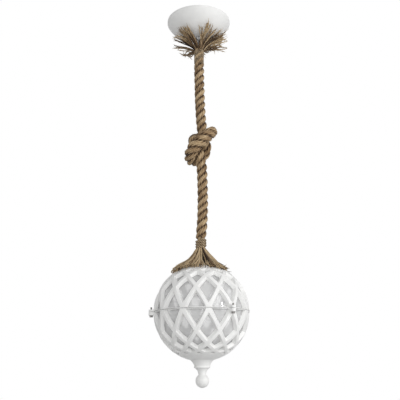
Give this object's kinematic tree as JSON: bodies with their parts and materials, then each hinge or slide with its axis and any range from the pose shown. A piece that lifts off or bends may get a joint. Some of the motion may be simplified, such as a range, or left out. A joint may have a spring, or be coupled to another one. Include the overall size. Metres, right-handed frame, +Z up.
{
  "type": "hanging lantern",
  "caption": "Globe lantern of white lattice over clear glass, hung by a knotted rope from a bowl-shaped ceiling canopy, with a lower half that hinges open for the lamp.",
  "frame": {"origin": "middle of the ceiling bracket's two screw holes, on the ceiling", "axes": "+Z up, -Y towards the side that the picture shows, +X to the picture's right"},
  "size_m": [0.2617, 0.2609, 1.0405],
  "materials": {
    "white_paint": "satin white paint",
    "clear_glass": "clear",
    "jute_rope": "laid natural fibre",
    "jute_twine": "wound natural fibre",
    "seal_rubber": "grey rubber",
    "holder_white": "gloss white",
    "block_white": "matte white",
    "socket_brass": "bright brass",
    "plain_steel": "zinc plated"
  },
  "bodies": {
    "canopy": {"ceiling_bracket": "plain_steel", "canopy_cup": "white_paint", "canopy_set_screws": "plain_steel", "eye_bolt": "plain_steel", "eye_bolt_nut": "plain_steel", "terminal_block": "block_white", "terminal_screws": "plain_steel"},
    "hanger_link": {"hanger_ring": "plain_steel"},
    "pendant": {"eye_rod": "plain_steel", "upper_fray": "jute_rope", "upper_binding": "jute_twine", "rope_upper": "jute_rope", "rope_knot": "jute_rope", "rope_lower": "jute_rope", "lower_whipping": "jute_twine", "lower_fray": "jute_rope", "stem_tube": "plain_steel", "stem_nuts": "plain_steel", "stem_washers": "plain_steel", "upper_cage": "white_paint", "upper_glass": "clear_glass", "upper_glass_seal": "seal_rubber", "lampholder_body": "holder_white", "lampholder_shell": "socket_brass", "lampholder_contact": "socket_brass", "hinge_pin": "plain_steel", "hinge_pin_clips": "plain_steel"},
    "bowl": {"lower_cage": "white_paint", "rim_seal": "seal_rubber", "lower_glass": "clear_glass", "lower_glass_seal": "seal_rubber", "finial": "white_paint", "finial_stud": "plain_steel", "finial_washer": "plain_steel", "finial_nut": "plain_steel"},
    "left_screw": {"left_closure_screw": "plain_steel", "left_screw_washer": "plain_steel"},
    "right_screw": {"right_closure_screw": "plain_steel", "right_screw_washer": "plain_steel"}
  },
  "joints": [
    {"name": "swing_fore_aft", "type": "hinge", "parent": "canopy", "child": "hanger_link", "pos_m": [0, 0, -0.0315], "axis": [1, 0, 0], "range_deg": [-7, 7]},
    {"name": "swing_side", "type": "hinge", "parent": "hanger_link", "child": "pendant", "pos_m": [0, 0, -0.0507], "axis": [0, 1, 0], "range_deg": [-7, 7]},
    {"name": "bowl_hinge", "type": "hinge", "parent": "pendant", "child": "bowl", "pos_m": [0.05463, 0.12564, -0.8465], "axis": [0.9171, -0.3987, 0], "range_deg": [0, 95]},
    {"name": "left_screw_travel", "type": "slide", "parent": "bowl", "child": "left_screw", "axis": [0, 0, -1], "range_m": [0, 0.0125]},
    {"name": "right_screw_travel", "type": "slide", "parent": "bowl", "child": "right_screw", "axis": [0, 0, -1], "range_m": [0, 0.0125]}
  ]
}
